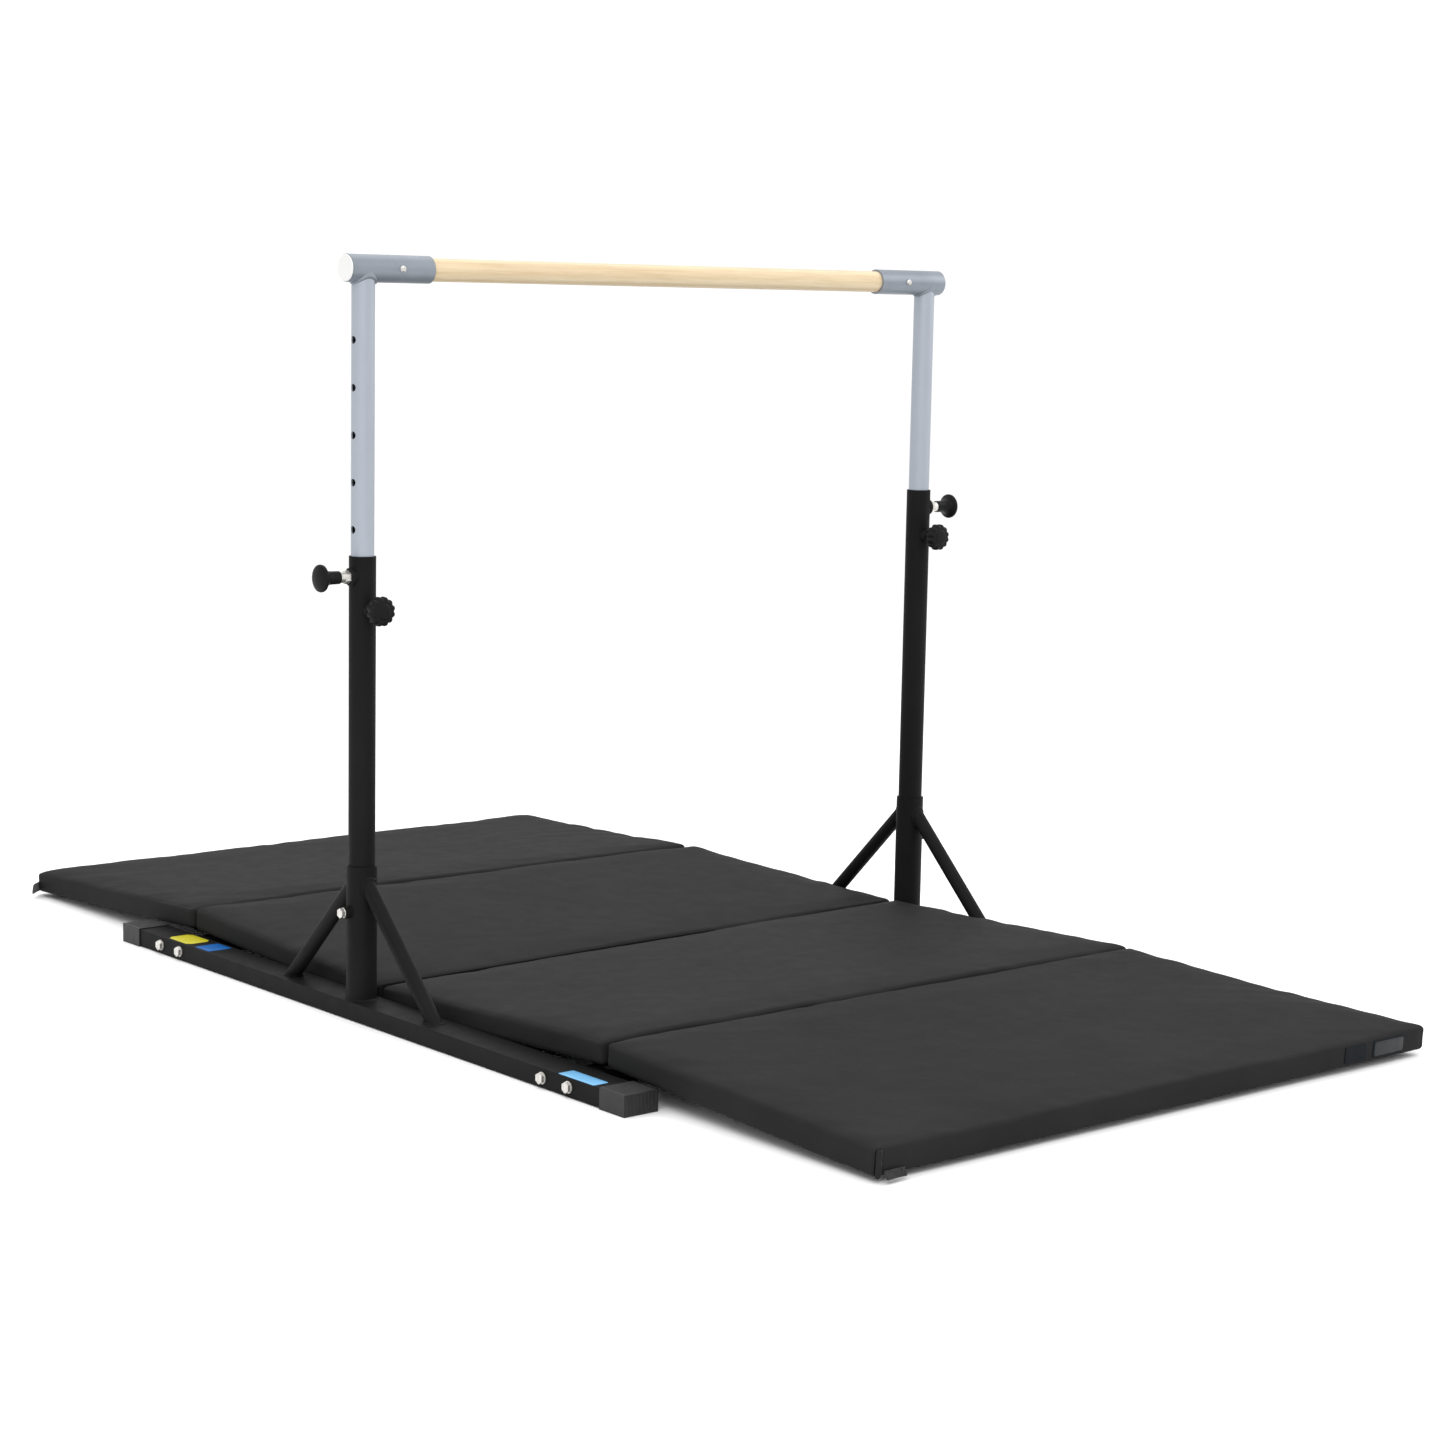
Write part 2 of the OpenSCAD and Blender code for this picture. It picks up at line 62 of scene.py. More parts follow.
class Look:
    """A procedural material: a Principled shader with noise, colour, roughness and bump added to it."""

    def __init__(self, name, color, rough, metal=0.0, spec=0.5, **extra):
        self.mat = bpy.data.materials.new(name)
        self.mat.use_nodes = True
        self.tree = self.mat.node_tree
        self.shader = self.tree.nodes["Principled BSDF"]
        self.last_bump = None
        self.set("Base Color", (*color, 1))
        self.set("Roughness", rough)
        self.set("Metallic", metal)
        self.set("Specular IOR Level", spec)
        for key, value in extra.items():
            self.set(key.replace("_", " "), value)

    def set(self, socket, value):
        self.shader.inputs[socket].default_value = value

    def add(self, kind, **inputs):
        node = self.tree.nodes.new(kind)
        for key, value in inputs.items():
            node.inputs[key.replace("_", " ")].default_value = value
        return node

    def link(self, source, target):
        self.tree.links.new(source, target)

    def coords(self, stretch=(1, 1, 1), turn=(0, 0, 0)):
        where = self.add("ShaderNodeTexCoord")
        place = self.add("ShaderNodeMapping", Scale=stretch, Rotation=turn)
        self.link(where.outputs["Object"], place.inputs["Vector"])
        return place.outputs["Vector"]

    def noise(self, scale, detail=3.0, rough=0.5, distort=0.0, stretch=(1, 1, 1), turn=(0, 0, 0)):
        n = self.add("ShaderNodeTexNoise", Scale=scale, Detail=detail, Roughness=rough, Distortion=distort)
        self.link(self.coords(stretch, turn), n.inputs["Vector"])
        return n.outputs["Fac"]

    def cells(self, scale, feature="F1", stretch=(1, 1, 1)):
        n = self.add("ShaderNodeTexVoronoi", Scale=scale)
        n.feature = feature
        self.link(self.coords(stretch), n.inputs["Vector"])
        return n.outputs["Distance"]

    def ramp(self, fac, stops):
        r = self.add("ShaderNodeValToRGB")
        while len(r.color_ramp.elements) < len(stops):
            r.color_ramp.elements.new(0.5)
        for e, (at, c) in zip(r.color_ramp.elements, stops):
            e.position = at
            e.color = (*c, 1) if len(c) == 3 else c
        self.link(fac, r.inputs["Fac"])
        return r.outputs["Color"]

    def color(self, fac, stops):
        self.link(self.ramp(fac, stops), self.shader.inputs["Base Color"])
        return self

    def roughness(self, fac, low, high):
        m = self.add("ShaderNodeMapRange", To_Min=low, To_Max=high)
        self.link(fac, m.inputs["Value"])
        self.link(m.outputs["Result"], self.shader.inputs["Roughness"])
        return self

    def bump(self, height, distance, strength=1.0):
        b = self.add("ShaderNodeBump", Distance=distance, Strength=strength)
        self.link(height, b.inputs["Height"])
        if self.last_bump:
            self.link(self.last_bump.outputs["Normal"], b.inputs["Normal"])
        self.link(b.outputs["Normal"], self.shader.inputs["Normal"])
        self.last_bump = b
        return self


def grey(v, tint=(1, 1, 1)):
    return tuple(v * t for t in tint)


def frame_black():
    m = Look("powder_coat_black", grey(0.0085), 0.5, spec=0.055)
    m.color(m.noise(6, 4, 0.6), [(0.3, grey(0.007)), (0.7, grey(0.01))])
    m.roughness(m.noise(35, 4), 0.42, 0.6)
    return m.bump(m.noise(850, 2), 0.00035, 0.35).mat


def post_silver():
    m = Look("post_silver", (0.33, 0.36, 0.41), 0.38, metal=0.55, spec=0.5)
    m.color(m.noise(5, 5, 0.7, stretch=(1, 1, 0.25)),
            [(0.25, (0.315, 0.345, 0.395)), (0.75, (0.375, 0.405, 0.455))])
    m.roughness(m.noise(160, 4, stretch=(1, 1, 0.05)), 0.32, 0.5)
    return m.bump(m.noise(1400, 2), 0.0002, 0.25).mat


def tee_grey():
    m = Look("tee_grey", (0.2, 0.225, 0.26), 0.42, metal=0.35, spec=0.5)
    m.color(m.noise(14, 4, 0.6), [(0.3, (0.19, 0.213, 0.245)), (0.7, (0.225, 0.25, 0.285))])
    m.roughness(m.noise(60, 3), 0.36, 0.5)
    return m.bump(m.noise(1100, 2), 0.0003, 0.3).mat


def beech():
    m = Look("beech", (0.8, 0.64, 0.4), 0.5, spec=0.35)
    rings = m.add("ShaderNodeTexWave", Scale=9.0, Distortion=3.2, Detail=3.0)
    rings.bands_direction = "Y"
    m.link(m.coords((0.16, 3.2, 3.2), (0.25, 0.0, 0.03)), rings.inputs["Vector"])
    pores = m.noise(260, 4, 0.7, stretch=(0.045, 1, 1))
    base = m.ramp(rings.outputs["Fac"],
                  [(0.0, (0.645, 0.535, 0.365)), (0.55, (0.615, 0.495, 0.325)), (1.0, (0.57, 0.445, 0.285))])
    fine = m.ramp(pores, [(0.36, (0.86, 0.82, 0.76)), (0.56, (1, 1, 1))])
    mix = m.add("ShaderNodeMix")
    mix.data_type = "RGBA"
    mix.blend_type = "MULTIPLY"
    mix.inputs[0].default_value = 0.7
    m.link(base, mix.inputs[6])
    m.link(fine, mix.inputs[7])
    m.link(mix.outputs[2], m.shader.inputs["Base Color"])
    m.roughness(pores, 0.42, 0.6)
    return m.bump(pores, 0.00025, 0.3).mat


def zinc():
    m = Look("zinc_plate", (0.62, 0.61, 0.58), 0.34, metal=0.9)
    m.color(m.noise(180, 4, 0.6), [(0.3, (0.5, 0.49, 0.47)), (0.7, (0.72, 0.7, 0.66))])
    m.roughness(m.noise(420, 3), 0.24, 0.5)
    return m.bump(m.noise(900, 3), 0.0002, 0.3).mat


def steel_pin():
    m = Look("turned_steel", (0.55, 0.55, 0.56), 0.28, metal=1.0)
    m.color(m.noise(240, 3), [(0.3, (0.46, 0.46, 0.47)), (0.7, (0.62, 0.62, 0.63))])
    m.roughness(m.noise(700, 2, stretch=(6, 1, 1)), 0.2, 0.4)
    return m.bump(m.noise(900, 2, stretch=(6, 1, 1)), 0.0001, 0.3).mat


def moulded_black(name, scale, rough, level, spec):
    m = Look(name, grey(level), rough, spec=spec)
    m.color(m.noise(25, 4), [(0.3, grey(level * 0.72)), (0.7, grey(level * 1.28))])
    m.roughness(m.noise(90, 3), rough - 0.08, rough + 0.1)
    return m.bump(m.cells(scale), 0.0003, 0.4).mat


def moulded(name, color, rough, shift, spec=0.5):
    m = Look(name, color, rough, spec=spec)
    low = tuple(c * (1 - shift) for c in color)
    m.color(m.noise(40, 4), [(0.3, low), (0.7, color)])
    m.roughness(m.noise(120, 3), rough - 0.06, rough + 0.08)
    return m.bump(m.noise(900, 2), 0.00015, 0.3).mat


def foam():
    m = Look("foam", (0.72, 0.7, 0.62), 0.95, spec=0.2)
    m.color(m.noise(160, 4), [(0.3, (0.62, 0.6, 0.52)), (0.7, (0.78, 0.76, 0.68))])
    return m.bump(m.cells(420), 0.0012, 0.8).mat


def vinyl(name="vinyl", level=0.0165):
    """Coated fabric: leather grain, with the weave of the backing just showing."""
    m = Look(name, grey(level), 0.62, spec=0.045)
    m.color(m.noise(7, 5, 0.65), [(0.28, grey(level * 0.86)), (0.72, grey(level * 1.14, (1.0, 0.995, 1.0)))])
    m.roughness(m.noise(28, 5, 0.6), 0.55, 0.74)
    m.bump(m.noise(26, 5, 0.55, 0.4), 0.0016, 0.35)
    m.bump(m.cells(720, "SMOOTH_F1"), 0.0004, 0.5)
    return m.bump(m.noise(1900, 2), 0.00012, 0.4).mat


def hook_tape():
    m = Look("hook_tape", grey(0.008), 0.95, spec=0.15, Sheen_Weight=0.25)
    m.color(m.noise(300, 3), [(0.3, grey(0.005)), (0.7, grey(0.013))])
    return m.bump(m.cells(620), 0.0012, 0.9).mat


MATS = {
    "frame_black": frame_black(), "post_silver": post_silver(), "tee_grey": tee_grey(), "beech": beech(),
    "zinc": zinc(), "steel_pin": steel_pin(), "black_plastic": moulded_black("knob_black", 900, 0.42, 0.0075, 0.08),
    "black_rubber": moulded_black("cap_black", 600, 0.5, 0.0125, 0.36),
    "white_plastic": moulded("white_plastic", (0.66, 0.66, 0.655), 0.3, 0.05),
    "nylon": moulded("nylon", (0.78, 0.77, 0.72), 0.4, 0.08),
    "yellow": moulded("label_yellow", (0.5, 0.45, 0.02), 0.4, 0.06, 0.16),
    "blue": moulded("label_blue", (0.007, 0.1, 0.34), 0.4, 0.08, 0.12),
    "sky": moulded("label_sky", (0.14, 0.41, 0.7), 0.38, 0.07),
    # the second vinyl is the same cover made darker (0.009 against 0.0165): painted shade for the fold creases
    "foam": foam(), "vinyl": vinyl(), "vinyl_dark": vinyl("vinyl_dark", 0.009), "hook_tape": hook_tape(),
    "patch": moulded("patch_black", (0.006, 0.008, 0.011), 0.5, 0.2, 0.06),
    "pocket": moulded("clear_pocket", (0.03, 0.031, 0.033), 0.35, 0.35, 0.15),
}


def dress(obj, mat):
    """Gives a CAD node or a piece one material."""
    if not obj.data.materials:
        obj.data.materials.append(mat)
    for s in obj.material_slots:
        s.material = mat
    return obj


def soften(obj, width, segments=2, angle=28):
    """Rounds the hard edges of a CAD node with modifiers alone."""
    for p in obj.data.polygons:
        p.use_smooth = True
    weld = obj.modifiers.new("weld", "WELD")
    weld.merge_threshold = 2e-5
    flat = obj.modifiers.new("flat", "DECIMATE")
    flat.decimate_type = "DISSOLVE"
    flat.angle_limit = math.radians(0.4)
    bevel = obj.modifiers.new("bevel", "BEVEL")
    bevel.width = width
    bevel.segments = segments
    bevel.limit_method = "ANGLE"
    bevel.angle_limit = math.radians(angle)
    bevel.harden_normals = False
    normals = obj.modifiers.new("normals", "WEIGHTED_NORMAL")
    normals.keep_sharp = False
    return obj


# ---- Mesh helpers ----

def piece(name, verts, faces, mat, body, smooth=True):
    """A new mesh piece that rides on a body."""
    mesh = bpy.data.meshes.new(name)
    mesh.from_pydata([tuple(v) for v in verts], [], [tuple(f) for f in faces])
    mesh.validate()
    mesh.update()
    obj = bpy.data.objects.new(name, mesh)
    bpy.context.scene.collection.objects.link(obj)
    for p in mesh.polygons:
        p.use_smooth = smooth
    dress(obj, mat)
    if body:
        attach(obj, body)
    return obj


def fix_normals(obj):
    bm = bmesh.new()
    bm.from_mesh(obj.data)
    bmesh.ops.remove_doubles(bm, verts=bm.verts, dist=1e-6)
    bmesh.ops.recalc_face_normals(bm, faces=bm.faces)
    bm.to_mesh(obj.data)
    bm.free()


def subdivide(obj, levels=1):
    m = obj.modifiers.new("subdivision", "SUBSURF")
    m.levels = levels
    m.render_levels = levels


def apply_modifiers(obj):
    """Makes the evaluated mesh the object's own mesh."""
    dg = bpy.context.evaluated_depsgraph_get()
    mesh = bpy.data.meshes.new_from_object(obj.evaluated_get(dg))
    old = obj.data
    obj.modifiers.clear()
    obj.data = mesh
    bpy.data.meshes.remove(old)


# ---- CAD nodes that stay: material and softened edges ----

ROUND = {
    "leg_left": 0.003, "leg_right": 0.003, "cross_tube_front": 0.0025, "cross_tube_back": 0.0025,
    "cap_left_front": 0.0005, "cap_left_back": 0.0005, "cap_right_front": 0.0005, "cap_right_back": 0.0005,
    "leg_bolts": 0.0008, "cross_nuts": 0.0008, "socket_bolts": 0.0008, "bar_screws": 0.0005,
    "tee_left": 0.0009, "tee_right": 0.0009, "tee_plug_left": 0.0009, "tee_plug_right": 0.0009,
    "outer_tube_left": 0.0009, "outer_tube_right": 0.0009, "socket_left": 0.001, "socket_right": 0.001,
    "pin_bosses": 0.001, "clamp_bosses": 0.001, "pin_barrel_left": 0.0006, "pin_barrel_right": 0.0006,
    "clamp_knob_left": 0.0018, "clamp_knob_right": 0.0018, "socket_nuts": 0.0012,
}

slots = {s["node"]: s["material_slot"] for s in frame["record"]["subparts"]}
for name, obj in NODES.items():
    slot = slots.get(name)
    if slot in MATS:
        dress(obj, MATS[slot])
    soften(obj, ROUND.get(name, 0.0004), 3 if ROUND.get(name, 0) > 0.0011 else 2)


# ---- Mat panels ----

def lines(length, edge):
    """Grid lines from 0 to length: close together near the ends, wider apart in the middle."""
    n = max(2, round((length - 2 * edge[-1]) / 0.0115))
    middle = np.linspace(edge[-1], length - edge[-1], n + 1)[1:-1]
    return np.concatenate([edge, middle, [length - e for e in reversed(edge)]])


def box_grid(us, vs, ws):
    """Closed quad grid on the six faces of a box, as points (u, v, w) and faces."""
    index, points, faces = {}, [], []

    def at(i, j, k):
        key = (i, j, k)
        if key not in index:
            index[key] = len(points)
            points.append((us[i], vs[j], ws[k]))
        return index[key]

    nu, nv, nw = len(us) - 1, len(vs) - 1, len(ws) - 1
    for i in range(nu):
        for j in range(nv):
            faces.append((at(i, j, nw), at(i + 1, j, nw), at(i + 1, j + 1, nw), at(i, j + 1, nw)))
            faces.append((at(i, j, 0), at(i, j + 1, 0), at(i + 1, j + 1, 0), at(i + 1, j, 0)))
        for k in range(nw):
            faces.append((at(i, 0, k), at(i + 1, 0, k), at(i + 1, 0, k + 1), at(i, 0, k + 1)))
            faces.append((at(i, nv, k), at(i, nv, k + 1), at(i + 1, nv, k + 1), at(i + 1, nv, k)))
    for j in range(nv):
        for k in range(nw):
            faces.append((at(0, j, k), at(0, j, k + 1), at(0, j + 1, k + 1), at(0, j + 1, k)))
            faces.append((at(nu, j, k), at(nu, j + 1, k), at(nu, j + 1, k + 1), at(nu, j, k + 1)))
    return np.array(points), faces


def rounded(points, size, inset, radius):
    """The box grid pulled in by inset, with its edges rounded to radius."""
    size = np.array(size)
    p = points * (size - 2 * inset) / size + inset
    core = np.clip(p, inset + radius, size - inset - radius)
    d = p - core
    length = np.linalg.norm(d, axis=1, keepdims=True)
    return np.where(length > 1e-9, core + radius * d / np.maximum(length, 1e-9), p)


SWELL = 0.007
FOLD_DROP = {-1: 0.0, 1: 0.004}


def mid_lie(across):
    """The middle fold rests lower on the left and higher on the right."""
    return -0.004 + 0.012 * across


FOLD_TOP = 0.056
FOLD_ROOM = 0.0024
FOLD_SLOPE = 0.19


def clear_of_fold(points):
    """Lowers points beside the middle fold, so that both halves can fold up without crossing."""
    ceiling = FOLD_TOP + FOLD_ROOM + FOLD_SLOPE * (np.abs(points[:, 1]) - 0.003)
    points[:, 2] = np.minimum(points[:, 2], ceiling)
    return points


class Panel:
    """One mat panel's own frame: u across, v away from the fold nearer the middle, w up."""

    def __init__(self, name):
        self.name = name
        node = "mat_cover_" + name
        self.sign = -1 if "front" in name else 1
        self.outer = "outer" in name
        co = np.array([v.co for v in NODES[node].data.vertices], float)
        co = np.unique(np.round(co, 6), axis=0)
        yz = co[:, 1:]
        self.centre = (yz.max(0) + yz.min(0)) / 2
        lower = yz[np.argsort(np.abs(yz[:, 0]))]
        hinge_side = lower[: len(lower) // 2]
        far_side = lower[len(lower) // 2:]
        direction = np.linalg.svd(yz - yz.mean(0))[2][0]
        self.v = direction * np.sign(direction @ (far_side.mean(0) - hinge_side.mean(0)))
        self.w = np.array([-self.v[1], self.v[0]]) * (1 if self.v[0] > 0 else -1)
        along = (yz - self.centre) @ self.v
        up = (yz - self.centre) @ self.w
        self.length = float(along.max() - along.min())
        self.thick = float(up.max() - up.min())
        self.x0 = float(co[:, 0].min())
        self.x1 = float(co[along < 0][:, 0].max())
        self.spread = float(co[:, 0].max() - self.x1)
        self.width = self.x1 - self.x0

    def grow(self, v):
        """How much wider the panel is at v than at its fold side."""
        t = np.clip(v / self.length, 0, 1)
        swell = SWELL * np.clip((t - 0.35) / 0.65, 0, 1) if self.outer else 0.0
        return 1 + (self.spread * t + swell) / self.width

    def lie(self, u, v):
        """How the soft panel lies above or below its straight solid."""
        across, t = u / self.width, np.clip(v / self.length, 0, 1)
        if self.outer:
            return 0.004 * t ** 3 - FOLD_DROP[self.sign] * across * (1 - t)
        return (mid_lie(across)) * (1 - t) ** 1.6 - FOLD_DROP[self.sign] * across * t

    def world(self, p):
        """Panel points (u, v, w) in the frame."""
        x = self.x0 + p[:, 0] * self.grow(p[:, 1])
        w = p[:, 2] + self.lie(p[:, 0], p[:, 1])
        yz = self.centre + np.outer(p[:, 1] - self.length / 2, self.v) + np.outer(w - self.thick / 2, self.w)
        return np.column_stack([x, yz])

    def local(self, q):
        yz = q[:, 1:] - self.centre
        v = yz @ self.v + self.length / 2
        u = (q[:, 0] - self.x0) / self.grow(v)
        return np.column_stack([u, v, yz @ self.w + self.thick / 2 - self.lie(u, v)])


# Grid lines across a panel's rounded edge and up its side, the pleat's place, and the corner radius
CORNER_INSET, CORNER_RADIUS = 0.0014, 0.009
CORE_INSET = 0.012
PUFF, SINK = 0.0042, 0.001
PLEAT_DEPTH, PLEAT_WIDTH = 0.0085, 0.0028
SEAT = 0.0018
EDGE = (0.0, 0.004, 0.008, 0.0125, 0.018, 0.026, 0.036)
HEIGHTS = (0.0, 0.004, 0.008, 0.0125, 0.018, 0.025, 0.032, 0.0375, 0.042, 0.046, 0.05)
GROOVE = 0.0085


def relax(obj, field, rounds):
    """Evens out a value per vertex over the mesh's edges."""
    a, b = np.array([e.vertices for e in obj.data.edges]).T
    count = (np.bincount(a, minlength=len(field)) + np.bincount(b, minlength=len(field)))[:, None]
    for _ in range(rounds):
        total = np.zeros_like(field)
        np.add.at(total, a, field[b])
        np.add.at(total, b, field[a])
        field = 0.5 * field + 0.5 * total / count
    return field


def inflate(obj, cap, sink):
    """Cloth with a little pressure inside, applied; no point moves further than cap, or deeper than sink."""
    start = np.array([v.co for v in obj.data.vertices])
    outward = np.array([v.normal for v in obj.data.vertices])
    cloth = obj.modifiers.new("cloth", "CLOTH")
    s = cloth.settings
    s.quality = 4
    s.mass = 0.35
    s.tension_stiffness = 18
    s.compression_stiffness = 12
    s.shear_stiffness = 6
    s.bending_stiffness = 0.6
    s.shrink_min = -0.012
    s.use_pressure = True
    s.uniform_pressure_force = 4
    s.effector_weights.gravity = 0
    scene = bpy.context.scene
    for f in range(1, 21):
        scene.frame_set(f)
    apply_modifiers(obj)
    scene.frame_set(1)
    now = np.array([v.co for v in obj.data.vertices])
    move = relax(obj, now - start, 8)
    far = np.linalg.norm(move, axis=1, keepdims=True)
    move = move * np.minimum(1, cap / np.maximum(far, 1e-9))
    along = np.sum(move * outward, axis=1, keepdims=True)
    now = start + move + outward * (np.maximum(along, -sink) - along)
    obj.data.vertices.foreach_set("co", now.astype(np.float32).ravel())
    obj.data.update()


def smooth_noise(p, scale, seed):
    return noise.noise(Vector((p[0] * scale[0] + seed, p[1] * scale[1] - seed * 0.7, p[2] * scale[2] + seed * 0.3)))


def ease(x):
    x = min(1.0, max(0.0, x))
    return x * x * (3 - 2 * x)


def wrinkle(panel, p, n, seed):
    """How far a cover point moves along its normal, from the creases and dimples of loose fabric."""
    u, v, w = p
    to_u = min(u, panel.width - u)
    to_v = min(v, panel.length - v)
    top = ease((n[2] - 0.2) / 0.6) if n[2] > 0 else 0.0
    side = 1 - abs(n[2])
    out = 0.0
    # long, very shallow waves over the whole top
    out += top * 0.0024 * smooth_noise(p, (4.2, 5.0, 0), seed)
    # diagonal pulls, strongest near the ends and corners
    pull = ease(1 - to_u / 0.34) * 0.7 + 0.3
    s = (u + v * (1.6 if seed % 2 else -1.6)) * 16
    out += top * pull * 0.0019 * smooth_noise((s, (u * 1.6 - v) * 1.3, 0), (1, 1, 0), seed * 3)
    # the long edges are a little crowned
    out -= top * 0.0022 * max(0.0, 1 - to_u / 0.03) ** 2
    # creases running in from the long edges
    rim = ease(1 - to_v / 0.075)
    out -= top * rim * 0.0026 * max(0.0, smooth_noise((u, v, 0), (26, 6, 0), seed * 5))
    rim = ease(1 - to_u / 0.09)
    out -= top * rim * 0.0030 * max(0.0, smooth_noise((u, v, 0), (7, 22, 0), seed * 7))
    # dimples down the side walls
    mid = ease(1 - abs(w / panel.thick - 0.5) * 1.7)
    out -= side * mid * 0.0030 * max(0.0, 0.15 + smooth_noise((u, v, w), (11, 11, 7), seed * 9))
    return out


def build_panel(name, seed):
    panel = Panel(name)
    body = "panel_" + name
    node = "mat_cover_" + name
    us, vs = lines(panel.width, EDGE), lines(panel.length, EDGE)
    points, faces = box_grid(us, vs, np.array(HEIGHTS) * panel.thick / 0.05)
    size = (panel.width, panel.length, panel.thick)
    shape = rounded(points, size, CORNER_INSET, CORNER_RADIUS)
    cover = piece("cover_" + name, panel.world(shape), faces, MATS["vinyl"], None)
    fix_normals(cover)
    inflate(cover, PUFF, SINK)
    co = np.array([v.co for v in cover.data.vertices])
    local = panel.local(co)
    normals = np.array([v.normal for v in cover.data.vertices])
    nl = np.column_stack([normals[:, 0], normals[:, 1:] @ panel.v, normals[:, 1:] @ panel.w])
    move = np.array([wrinkle(panel, p, n, seed) for p, n in zip(local, nl)])
    moved = local + nl * move[:, None]
    if name == "front_outer":
        # open pleat beside the near corner of the free end
        on_end = np.clip((local[:, 1] - (panel.length - 0.012)) / 0.006, 0, 1)
        below_rim = np.clip((panel.thick - 0.003 - local[:, 2]) / 0.004, 0, 1)
        pleat = np.exp(-((local[:, 0] - GROOVE) / PLEAT_WIDTH) ** 2)
        moved[:, 1] -= PLEAT_DEPTH * pleat * on_end * below_rim
        # taut under the stitched patch and card pocket
        across = local[:, 0] / panel.width
        taut = (nl[:, 1] > 0.8) & (across > 0.8) & (across < 0.985)
        moved[taut, 1] = panel.length - 0.0016
    # the faces against a fold stay inside the CAD solid, so that neighbours keep clear
    moved[:, 1] = np.clip(moved[:, 1], 0.0006, panel.length - (0.0002 if panel.outer else 0.0006))
    moved[:, 0] = np.clip(moved[:, 0], 0.0, panel.width)
    moved[:, 2] = np.clip(moved[:, 2], 0.0002, panel.thick + 0.002)
    final = panel.world(moved)
    if not panel.outer:
        final = clear_of_fold(final)
    cover.data.vertices.foreach_set("co", final.astype(np.float32).ravel())
    cover.data.update()
    subdivide(cover)
    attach(cover, body)
    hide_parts(node)

    core_grid, core_faces = box_grid(
        np.linspace(0, panel.width, 9), np.linspace(0, panel.length, 7), np.linspace(0, panel.thick, 4))
    core_shape = panel.world(rounded(core_grid, size, CORE_INSET, 0.004))
    core = piece("foam_" + name, core_shape, core_faces, MATS["foam"], None)
    fix_normals(core)
    subdivide(core)
    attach(core, body)
    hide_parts("mat_core_" + name)
    return panel


panels = {}
for seed, name in enumerate(("front_outer", "front_inner", "back_inner", "back_outer"), 2):
    panels[name] = build_panel(name, seed)


def sweep(profile, stations):
    """Closed strip, capped at both ends. profile(station) gives the ring of points there."""
    rings = [profile(s) for s in stations]
    n = len(rings[0])
    verts = [p for ring in rings for p in ring]
    faces = []
    for i in range(len(rings) - 1):
        for k in range(n):
            j = (k + 1) % n
            faces.append((i * n + k, i * n + j, (i + 1) * n + j, (i + 1) * n + k))
    faces.append(tuple(reversed(range(n))))
    faces.append(tuple((len(rings) - 1) * n + k for k in range(n)))
    return verts, faces


def finish_strip(name, verts, faces, mat, body, levels=1, node=None):
    obj = piece(name, verts, faces, mat, None)
    fix_normals(obj)
    if levels:
        subdivide(obj, levels)
    if body:
        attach(obj, body)
    if node:
        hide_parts(node)
    return obj


def fold_web(end):
    """The strip of cover under an outer fold that both panels hang on, in a darker copy of the vinyl: painted shade
    in the fold's crease.
    """
    inner, outer = panels[end + "_inner"], panels[end + "_outer"]
    reach, thick = 0.022, 0.0009

    def ring(u):
        path = [(inner, inner.length - reach), (inner, inner.length - 0.011), (inner, inner.length - 0.001),
                (outer, 0.001), (outer, 0.011), (outer, reach)]
        low = [p.world(np.array([[u * p.width, v, -0.0006 - thick]]))[0] for p, v in path]
        high = [p.world(np.array([[u * p.width, v, -0.0006]]))[0] for p, v in reversed(path)]
        return low + high

    verts, faces = sweep(ring, np.linspace(0.007, 0.993, 60))
    web = finish_strip("fold_web_" + end, verts, faces, MATS["vinyl_dark"], None)
    apply_modifiers(web)
    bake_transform(web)


def middle_web():
    """The strip of cover that joins the two middle panels along their top edges, in a darker copy of the vinyl:
    painted shade along the middle crease.
    """
    lo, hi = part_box("mat_hinge_strip")

    def ring(x):
        lift = min(0.0, mid_lie((x - lo.x) / (hi.x - lo.x)) - 0.002)
        shape = [(-1, 0.0), (-0.5, -0.0012), (0, -0.0018), (0.5, -0.0012), (1, 0.0)]
        top = [(x, hi.y * k, hi.z + lift + d) for k, d in shape]
        return top + [(x, hi.y * k, hi.z + lift + d - 0.0011) for k, d in reversed(shape)]

    verts, faces = sweep(ring, np.linspace(lo.x, hi.x, 70))
    finish_strip("fold_web_middle", verts, faces, MATS["vinyl_dark"], "mat_middle",
                 node="mat_hinge_strip")


for end in ("front", "back"):
    fold_web(end)
middle_web()


def flap(end, from_u, to_u, tall, wrap):
    """Black hook-and-loop flap hanging from the lower edge of a free end and curling outwards."""
    panel = panels[end + "_outer"]
    curl = ((1, 0.0009), (0.75, 0.0016), (0.46, 0.0034), (0.21, 0.0060), (0.04, 0.0078))
    down = [(tall * k, out) for k, out in curl]

    def ring(u):
        ripple = 0.0012 * math.sin(u * 120)
        along = max(0.0, 0.012 - u) if wrap else 0.0
        outer = [(u, panel.length + d + 0.0016 + ripple * (1 - w / tall) - along, w) for w, d in down]
        inner = [(a, b - 0.0014, c) for a, b, c in reversed(outer)]
        return [panel.world(np.array([q]))[0] for q in outer + inner]

    verts, faces = sweep(ring, np.linspace(from_u, to_u, 14))
    finish_strip("flap_" + end, verts, faces, MATS["hook_tape"], f"panel_{end}_outer",
                 node="mat_flap_" + end)


flap("front", 0.013, 0.052, 0.012, False)
flap("back", -0.022, 0.08, 0.022, True)


